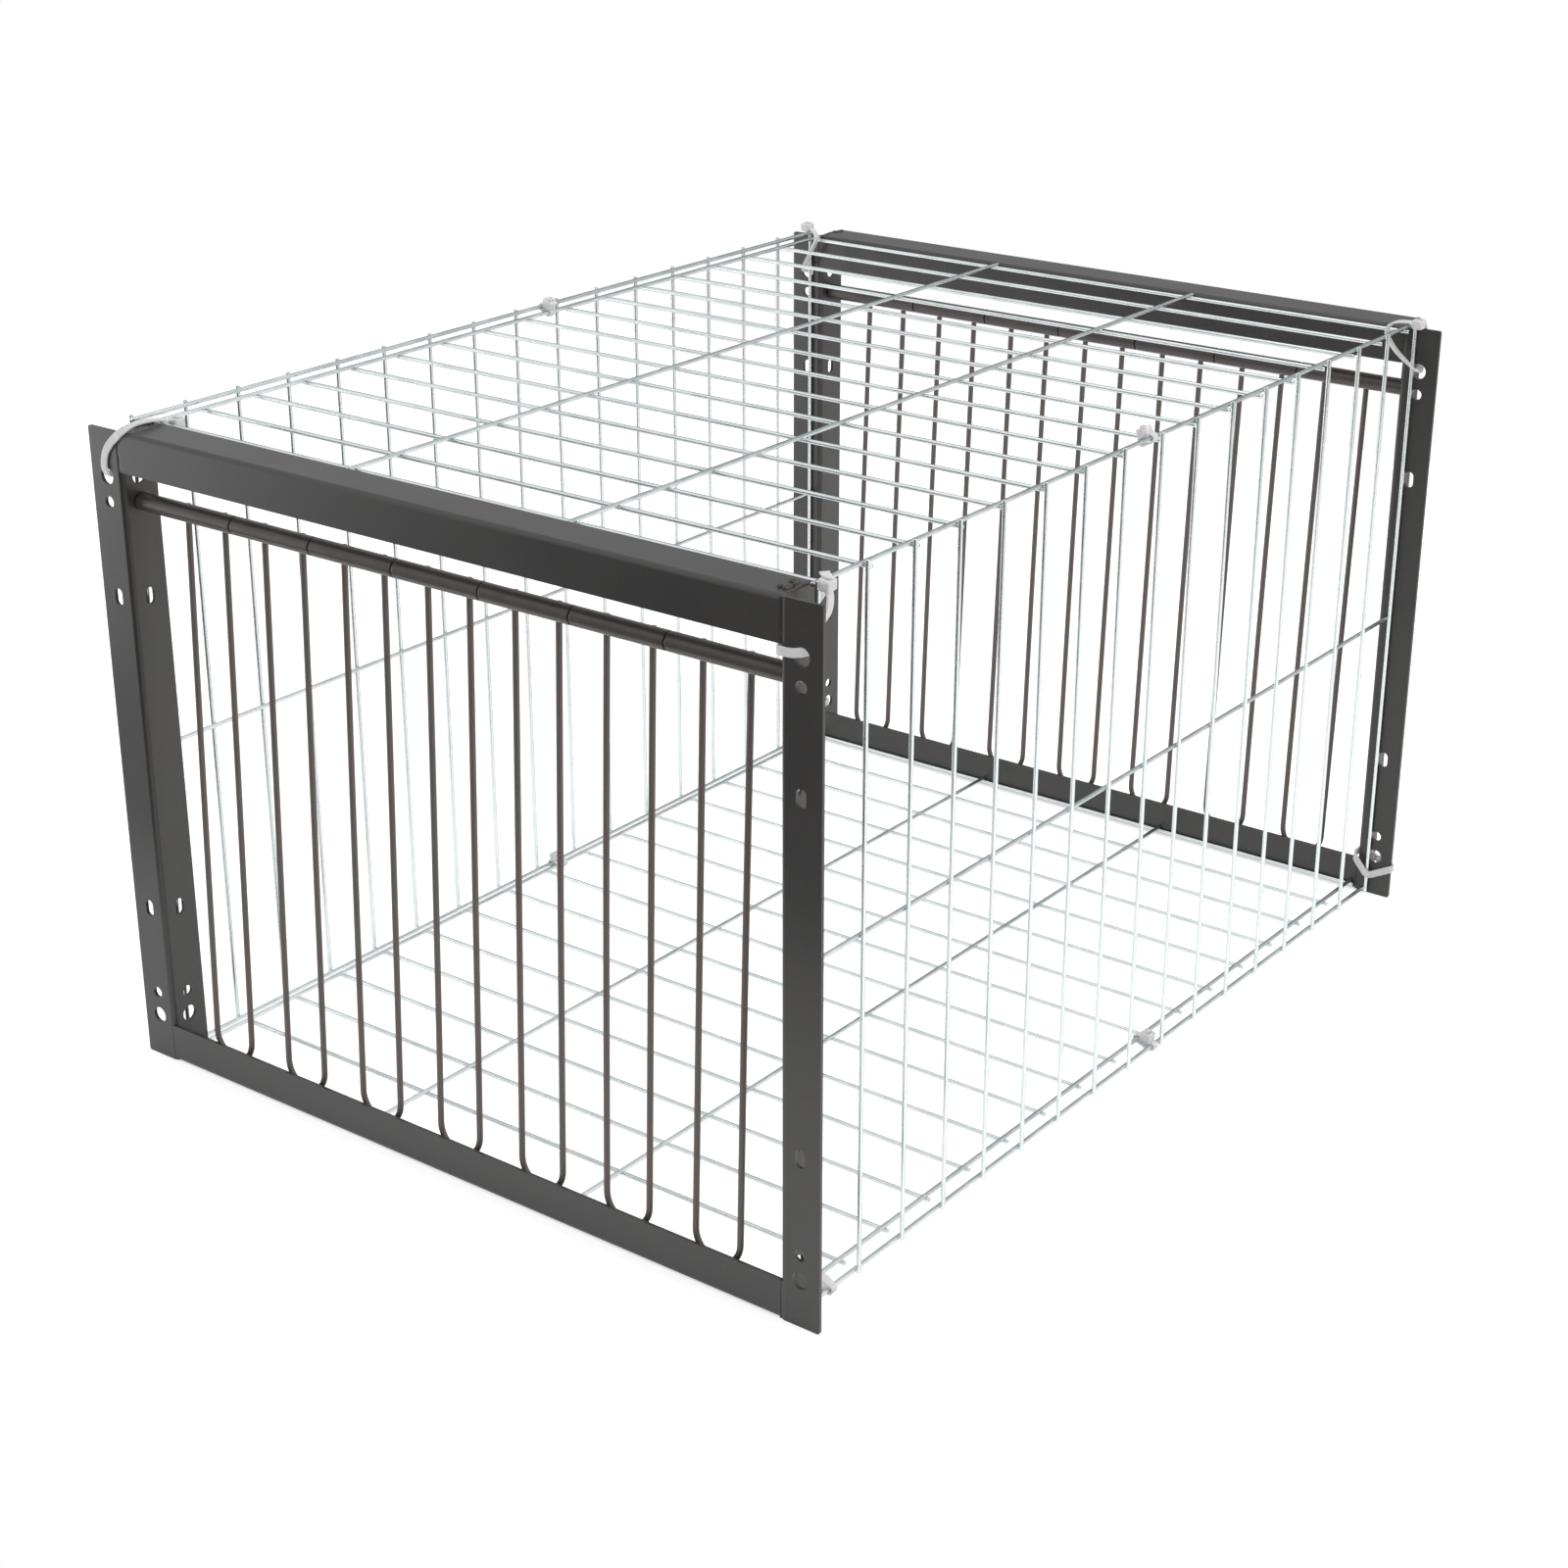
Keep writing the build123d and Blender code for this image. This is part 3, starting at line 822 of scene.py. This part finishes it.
def add_strap(shape, stops):
    """A strap along the stops, with its teeth on the side towards its middle."""
    line = smooth_line(stops)
    middle = sum((point for point, _ in line), Vector()) / len(line)
    frames = []
    last = len(line) - 1
    for index, (point, width) in enumerate(line):
        way = (line[min(index + 1, last)][0] - line[max(index - 1, 0)][0]).normalized()
        width = (width - way * width.dot(way)).normalized()
        if frames and width.dot(frames[-1][1]) < 0:
            width = -width
        frames.append((point, width, way.cross(width)))
    inward = sum((middle - point).dot(flat) for point, _, flat in frames)
    facing = -1 if inward > 0 else 1
    rings = []
    for index, (point, width, flat) in enumerate(frames):
        outline = strap_outline(TOOTH_DEPTH if index % 2 else 0.0)
        rings.append([shape.verts.new(point + width * w + flat * facing * f) for w, f in outline])
    join_rings(shape, rings)


def rounded_outline(length, width, radius):
    """Points round a rectangle with rounded corners."""
    corner_steps = 3
    pairs = []
    for quarter, (ahead, aside) in enumerate(((1, 1), (-1, 1), (-1, -1), (1, -1))):
        for step in range(corner_steps + 1):
            turn = math.pi / 2 * (quarter + step / corner_steps)
            x = ahead * (length / 2 - radius) + radius * math.cos(turn)
            y = aside * (width / 2 - radius) + radius * math.sin(turn)
            pairs.append((x, y))
    return pairs


def add_head(shape, seat, along, up, stub=1.3):
    """The locking block on its seat: the strap leaves it along, and its cut end stands up out of the slot."""
    up = Vector(up).normalized()
    along = Vector(along)
    along = (along - up * along.dot(up)).normalized()
    side = up.cross(along)
    seat = Vector(seat)
    block = rounded_outline(HEAD_LENGTH, HEAD_WIDTH, HEAD_CORNER)
    rim = rounded_outline(HEAD_LENGTH - 2 * HEAD_RIM, HEAD_WIDTH - 2 * HEAD_RIM, RIM_CORNER)
    levels = [
        (0.0, rim),
        (HEAD_RIM, block),
        (HEAD_HEIGHT - HEAD_RIM, block),
        (HEAD_HEIGHT, rim),
        (HEAD_HEIGHT, rounded_outline(SLOT_LENGTH, SLOT_WIDTH, SLOT_CORNER)),
        (
            HEAD_HEIGHT - SLOT_DEPTH,
            rounded_outline(SLOT_LENGTH - SLOT_TAPER, SLOT_WIDTH - SLOT_TAPER, SLOT_CORNER),
        ),
    ]
    rings = []
    for rise, outline in levels:
        rings.append([shape.verts.new(seat + up * rise + along * a + side * b) for a, b in outline])
    join_rings(shape, rings)
    low, high = seat + up * (HEAD_HEIGHT - STUB_ROOT), seat + up * (HEAD_HEIGHT + stub)
    add_strap(shape, [(*low, side), (*high, side)])


def finish_tie(node, shape, side, nylon):
    """Turns a right-hand tie to its own side of the cage and lets it stand for its node."""
    shape.transform(Matrix.Translation((0, FRONT_FACE, 0)) @ Matrix.Diagonal((side, 1, 1, 1)))
    finish_piece(f"{node}_strap", shape, nylon, "cage", [node])


def middle_tie(node, side, y, flat_wire, side_z, nylon):
    """Tie pulled tight round the two wires of a long edge, with its head on top."""
    shape = bmesh.new()
    stand = MESH_RADIUS + STRAP_SLACK + STRAP / 2
    edge_wire, side_wire = Vector((flat_wire[0], y, flat_wire[1])), Vector((SIDE_WIRE_X, y, side_z))
    across = (side_wire - edge_wire).normalized()
    over = across.cross(ALONG)
    arc_steps = 4
    stops = []
    for wire, first in ((side_wire, math.pi / 2), (edge_wire, -math.pi / 2)):
        for step in range(arc_steps + 1):
            turn = first - math.pi * step / arc_steps
            stops.append((*(wire + (across * math.cos(turn) + over * math.sin(turn)) * stand), ALONG))
    top = (edge_wire + side_wire) / 2 + over * stand
    add_strap(shape, [(*top, ALONG), *stops, (*top, ALONG)])
    add_head(shape, top - over * STRAP / 2, across, over, stub=0.8)
    finish_tie(node, shape, side, nylon)


def over_tie(node, side, face, way, stops, seat, nylon):
    """Tie through the outward leg of a post, over the top of the post and round the corner of the tunnel.
    The second number of a stop or seat is its depth from the leg's face on the far side from the tunnel."""
    shape = bmesh.new()
    add_strap(shape, [(x, face + way * depth, z, (w[0], w[1] * way, w[2])) for x, depth, z, w in stops])
    x, depth, z = seat
    add_head(shape, (x, face + way * depth, z), (0, -way, 0), UP, stub=0.4)
    finish_tie(node, shape, side, nylon)


def front_corner_tie(node, nylon):
    """Tie through the outward leg of the front right post, round the fold and up to the corner of the
    tunnel."""
    shape = bmesh.new()
    on_edge = (0, 0, -1)
    stops = [
        (185.6, 14.2, 302.6, (1, 0.5, 0)),
        (183.4, 16.8, 304.0, (1, 0.7, 0)),
        (180.0, 19.6, 304.0, (0.8, 1, 0)),
        (176.6, 24.2, 302.2, (0.8, 1, 0)),
        (174.3, 28.2, 300.2, (0.3, 1, 0)),
        (174.0, 29.0, 297.8, ALONG),
        (174.0, 27.4, 294.2, (0, 1, -0.5)),
        (174.1, 18.0, 288.6, (0, 1, -1)),
        (174.1, 8.0, 282.4, (0, 1, -2)),
        (174.1, 2.0, 280.0, on_edge),
        (174.4, -0.4, 279.8, on_edge),
        (176.0, -0.75, 279.8, on_edge),
        (180.4, -0.75, 280.0, on_edge),
        (183.0, -0.5, 280.5, on_edge),
        (184.7, 0.75, 280.7, on_edge),
        (185.9, 2.8, 281.2, on_edge),
        (186.0, 4.8, 284.4, (0, 1, -2)),
        (187.0, 7.0, 289.2, (0, 1, -0.8)),
        (188.9, 9.6, 293.8, (0, 1, -0.3)),
        (188.2, 12.0, 298.2, (0, 1, -0.1)),
        (186.2, 13.5, 301.6, ALONG),
    ]
    add_strap(shape, stops)
    add_head(shape, (185.6, 13.6, 300.6), ALONG, (0.1, -0.1, 1), stub=0.8)
    finish_tie(node, shape, 1, nylon)


def low_tie(node, nylon):
    """Tie through the rear-pointing leg of the front right post, round the wires of the tunnel's lower
    edge."""
    shape = bmesh.new()
    slanting = (0, 1, 1)
    stops = [
        (174.1, 17.6, 13.4, slanting),
        (174.1, 21.7, 9.6, slanting),
        (172.6, 25.5, 7.0, (0, 2, 1)),
        (170.6, 26.2, 4.8, ALONG),
        (171.5, 26.7, 2.25, ALONG),
        (179.3, 26.7, 0.65, ALONG),
        (181.0, 26.7, 0.75, ALONG),
        (181.7, 26.5, 3.0, ALONG),
        (179.3, 24.3, 7.2, (0, 2, 1)),
        (177.9, 18.0, 13.0, slanting),
        (177.4, 11.2, 19.4, slanting),
        (175.75, 9.7, 20.8, slanting),
        (174.3, 11.2, 19.4, slanting),
        (174.1, 16.4, 14.5, slanting),
    ]
    add_strap(shape, stops)
    add_head(shape, (174.4, 17.0, 13.9), (0, 1, -0.9), (-1, 0, 0))
    finish_tie(node, shape, 1, nylon)


def foot_tie(node, side, nylon):
    """Tie from its head behind the outward leg of a rear post, round the leg's edge and the tunnel's last
    upright, over the bottom bar and back through the hole in the other leg."""
    shape = bmesh.new()
    stops = [
        (187.5, 503.7, 17.6, UP),
        (192.4, 502.9, 17.0, UP),
        (194.3, 502.2, 16.8, UP),
        (194.75, 500.75, 16.7, UP),
        (194.3, 499.3, 16.5, UP),
        (192.4, 498.9, 15.6, UP),
        (187.0, 498.5, 12.8, UP),
        (183.6, 497.5, 11.4, UP),
        (181.6, 496.6, 12.2, UP),
        (179.2, 496.9, 14.4, UP),
        (174.7, 497.8, 19.4, UP),
        (174.1, 499.2, 20.6, UP),
        (174.1, 502.4, 20.8, UP),
        (174.3, 508.2, 20.9, UP),
        (175.75, 509.5, 21.0, UP),
        (177.7, 508.6, 20.6, UP),
        (179.8, 506.4, 19.4, UP),
        (185.0, 504.4, 18.0, UP),
        (186.6, 503.9, 17.8, UP),
    ]
    add_strap(shape, stops)
    add_head(shape, (187.6, 502.0, 17.6), ACROSS, ALONG)
    finish_tie(node, shape, side, nylon)


def build_over_ties(nylon):
    """The ties at three top corners: one leans over the front bar, and the two rear ones go over their post,
    pulled tight on the left and arching on the right."""
    leaning = [
        (171.2, 29.0, 299.0, ACROSS),
        (171.4, 26.0, 300.3, ACROSS),
        (171.6, 21.4, 301.2, ACROSS),
        (171.7, 17.0, 302.0, ACROSS),
        (171.6, 11.0, 302.5, ACROSS),
        (171.2, 5.2, 302.5, (1, 0.1, 0)),
        (171.6, 1.6, 301.6, (1, 0.3, 0.3)),
        (173.4, -0.4, 299.7, (1, 0.2, 0.8)),
        (176.4, -0.65, 297.2, (1, 0, 0.9)),
        (180.4, -0.7, 293.6, (1, 0, 0.7)),
        (183.0, -0.7, 290.2, (1, 0, 0.45)),
        (184.5, -0.7, 286.4, (1, 0, 0.15)),
        (184.7, -0.7, 282.4, ACROSS),
        (184.4, 0.75, 279.5, ACROSS),
        (184.5, 2.4, 279.4, ACROSS),
        (184.8, 4.0, 280.8, ACROSS),
        (185.0, 14.1, 288.0, ACROSS),
        (185.1, 23.6, 293.2, ACROSS),
        (183.0, 30.0, 295.2, (1, 1, 0)),
        (179.6, 32.2, 295.8, ALONG),
        (175.4, 32.2, 296.0, ALONG),
        (172.6, 31.4, 297.0, ALONG),
        (171.3, 29.8, 298.6, ALONG),
    ]
    from_top = [
        (180.6, 6.6, 304.2, ACROSS),
        (182.8, 4.4, 304.9, ACROSS),
        (184.7, 2.6, 304.0, ACROSS),
    ]
    from_beside = [
        (184.8, 6.6, 302.4, ACROSS),
        (184.8, 4.2, 303.6, ACROSS),
        (184.7, 2.4, 303.4, ACROSS),
    ]
    over_leg = [
        (184.6, 1.0, 302.0, ACROSS),
        (184.5, -0.4, 300.8, ACROSS),
        (184.5, -0.75, 299.3, ACROSS),
        (184.5, -0.75, 283.0, ACROSS),
        (184.5, -0.65, 281.6, ACROSS),
        (184.5, 0.75, 279.4, ACROSS),
        (184.6, 2.4, 279.3, (1, 0.2, 0)),
        (184.0, 4.8, 280.7, (1, 1, 0)),
    ]
    tight = [
        (182.2, 6.0, 284.2, (0.6, 1, 0)),
        (179.2, 6.6, 289.8, ALONG),
        (176.2, 7.0, 295.2, ALONG),
        (174.3, 7.2, 299.2, ALONG),
        (174.5, 7.4, 301.8, ALONG),
        (176.2, 7.4, 303.8, ALONG),
        (178.4, 7.2, 304.5, ALONG),
        (180.6, 7.0, 304.3, ALONG),
    ]
    arching = [
        (181.4, 6.4, 283.2, (0.3, 1, 0)),
        (174.6, 6.8, 288.6, ALONG),
        (170.8, 7.0, 293.2, ALONG),
        (169.0, 7.2, 296.6, ALONG),
        (169.6, 7.4, 300.2, ALONG),
        (172.8, 7.4, 302.7, ALONG),
        (176.8, 7.2, 303.6, ALONG),
        (180.4, 7.0, 303.7, ALONG),
        (184.4, 6.9, 302.9, ALONG),
    ]
    rear = REAR_FACE - FRONT_FACE + SHEET
    left_rear = from_top + over_leg + tight
    right_rear = from_beside + over_leg + arching
    over_tie("tie_front_top_left", -1, 0.0, 1, leaning, (171.2, 29.2, 296.0), nylon)
    over_tie("tie_rear_top_left", -1, rear, -1, left_rear, (180.6, 6.9, 303.0), nylon)
    over_tie("tie_rear_top_right", 1, rear, -1, right_rear, (184.8, 6.9, 301.2), nylon)


def build_ties(nylon):
    """All ties. The front left foot has none."""
    build_over_ties(nylon)
    front_corner_tie("tie_front_top_right", nylon)
    low_tie("tie_front_floor_right", nylon)
    top_wire, floor_wire = (TOP_EDGE_X, TOP_WIRE), (FLOOR_EDGE_X, FLOOR_WIRE)
    middle_tie("tie_middle_top_left", -1, 275.0, top_wire, SIDE_TOP, nylon)
    middle_tie("tie_middle_top_right", 1, 250.0, top_wire, SIDE_TOP, nylon)
    middle_tie("tie_middle_floor_left", -1, 267.0, floor_wire, SIDE_BOTTOM, nylon)
    middle_tie("tie_middle_floor_right", 1, 281.0, floor_wire, SIDE_BOTTOM, nylon)
    foot_tie("tie_rear_floor_left", -1, nylon)
    foot_tie("tie_rear_floor_right", 1, nylon)


# Stage


def build_floor():
    """A white table top, with its edge 200 to 290 mm in front of the cage. The camera sees it nearly
    white."""
    shape = bmesh.new()
    shape.faces.new([shape.verts.new(Vector((x, y, -TABLE_DROP)) * MM) for x, y in TABLE_CORNERS])
    mesh = bpy.data.meshes.new("white_table_top")
    shape.to_mesh(mesh)
    shape.free()
    floor = bpy.data.objects.new("white_table_top", mesh)
    bpy.context.scene.collection.objects.link(floor)
    material, tree, surface, _ = finish(
        "white_laminate", {"Base Color": linear("#e7e7e7"), "Roughness": 0.9, "Specular IOR Level": 0.0}
    )
    rays = add(tree, "ShaderNodeLightPath")
    seen = add(
        tree,
        "ShaderNodeMath",
        {"operation": "MAXIMUM"},
        {0: rays.outputs["Is Camera Ray"], 1: rays.outputs["Is Transmission Ray"]},
    )
    in_gloss = add(tree, "ShaderNodeMapRange", {"To Max": 0.55}, {"Value": rays.outputs["Is Glossy Ray"]})
    lift = add(
        tree,
        "ShaderNodeMapRange",
        {"To Max": 0.58},
        {"Value": seen.outputs[0], "To Min": in_gloss.outputs["Result"]},
    )
    glow = add(
        tree,
        "ShaderNodeEmission",
        {"Color": linear("#ffffff")},
        {"Strength": lift.outputs["Result"]},
    )
    both = add(tree, "ShaderNodeAddShader", None, {0: surface.outputs[0], 1: glow.outputs[0]})
    tree.links.new(both.outputs[0], tree.nodes["Material Output"].inputs["Surface"])
    mesh.materials.append(material)


def build_surroundings():
    """A white studio. Seen in gloss, the front is dark below the horizon, and the back is a grey wall under a
    dim ceiling."""
    world = bpy.data.worlds.new("white_studio")
    bpy.context.scene.world = world
    world.use_nodes = True
    tree = world.node_tree
    way = add(tree, "ShaderNodeTexCoord")
    parts = add(tree, "ShaderNodeSeparateXYZ", None, {"Vector": way.outputs["Generated"]})
    horizon = add(
        tree,
        "ShaderNodeMapRange",
        {"From Min": 0.2, "From Max": 0.5, "To Min": 0.10, "To Max": 0.85},
        {"Value": parts.outputs["Y"]},
    )
    above = add(
        tree,
        "ShaderNodeMapRange",
        {"From Min": 0.10, "From Max": 0.28, "To Max": 1.0},
        {"Value": parts.outputs["Z"], "To Min": horizon.outputs["Result"]},
    )
    far_wall = add(
        tree,
        "ShaderNodeMapRange",
        {"From Min": 0.4, "From Max": 0.8, "To Min": 1.0, "To Max": 0.62},
        {"Value": parts.outputs["Y"]},
    )
    overhead = add(
        tree,
        "ShaderNodeMapRange",
        {"From Min": 0.42, "From Max": 0.58, "To Min": 1.0, "To Max": 0.6},
        {"Value": parts.outputs["Z"]},
    )
    back_ceiling = add(
        tree,
        "ShaderNodeMapRange",
        {"From Min": -0.1, "From Max": 0.25, "To Min": 1.0},
        {"Value": parts.outputs["Y"], "To Max": overhead.outputs["Result"]},
    )
    walls = above
    for dimming in (far_wall, back_ceiling):
        walls = add(
            tree,
            "ShaderNodeMath",
            {"operation": "MULTIPLY"},
            {0: walls.outputs[0], 1: dimming.outputs["Result"]},
        )
    rays = add(tree, "ShaderNodeLightPath")
    in_gloss = add(
        tree,
        "ShaderNodeMix",
        {"A": 0.65},
        {"Factor": rays.outputs["Is Glossy Ray"], "B": walls.outputs[0]},
    )
    seen = add(
        tree,
        "ShaderNodeMath",
        {"operation": "MAXIMUM"},
        {0: rays.outputs["Is Camera Ray"], 1: rays.outputs["Is Transmission Ray"]},
    )
    level = add(
        tree,
        "ShaderNodeMix",
        {"B": 1.0},
        {"Factor": seen.outputs[0], "A": in_gloss.outputs[0]},
    )
    background = tree.nodes["Background"]
    background.inputs["Color"].default_value = linear("#ffffff")
    tree.links.new(level.outputs[0], background.inputs["Strength"])


def build_lamps():
    """Three soft boxes, with their places, sizes, powers and colours: one low on the left, one on the right
    and one overhead."""
    lamps = [
        ("left_softbox", (-1400, -860, 120), 800, 6.0, "#ffffff"),
        ("right_softbox", (1900, 300, 1000), 1600, 13.0, "#fff6ec"),
        ("top_softbox", (100, 300, 2200), 2000, 14.0, "#ffffff"),
    ]
    for name, place, size, power, colour in lamps:
        light = bpy.data.lights.new(name, "AREA")
        light.shape = "SQUARE"
        light.size = size * MM
        light.energy = power
        light.color = linear(colour)[:3]
        lamp = bpy.data.objects.new(name, light)
        lamp.location = Vector(place) * MM
        lamp.rotation_euler = (Vector(LAMP_AIM) * MM - lamp.location).to_track_quat("-Z", "Y").to_euler()
        lamp.visible_camera = False
        bpy.context.scene.collection.objects.link(lamp)


def build_camera():
    """Camera in front of the right-hand post, looking down on the cage."""
    sideways, forwards = math.sin(CAMERA_TURN), math.cos(CAMERA_TURN)
    level, down = math.cos(CAMERA_TILT), math.sin(CAMERA_TILT)
    sight = Vector((-sideways * level, forwards * level, -down))
    lens = bpy.data.cameras.new("studio_camera")
    lens.sensor_width = 36.0
    lens.lens = 63.64
    lens.clip_start = 0.05
    lens.clip_end = 50.0
    camera = bpy.data.objects.new("studio_camera", lens)
    camera.location = Vector(CAMERA_PLACE) * MM
    camera.rotation_euler = sight.to_track_quat("-Z", "Y").to_euler()
    bpy.context.scene.collection.objects.link(camera)
    bpy.context.scene.camera = camera
    bpy.context.scene.view_settings.view_transform = "Standard"


coat = powder_coated_steel()
edge = rubbed_coat_edge()
slag = coat_over_weld()
tube_finish = black_lacquered_tube()
wire_finish = black_lacquered_wire()
rod_finish = plain_steel_rod()
zinc = bright_zinc_wire()
nylon = milky_nylon()

coat_frames(coat, edge)
for end, face in (("front", FRONT_FACE), ("rear", REAR_FACE)):
    build_bobs(end, face, tube_finish, wire_finish)
    build_axle(end, face, rod_finish)
    weld_frame(end, face, coat, slag)
build_mesh(zinc)
build_ties(nylon)
build_floor()
build_surroundings()
build_lamps()
build_camera()
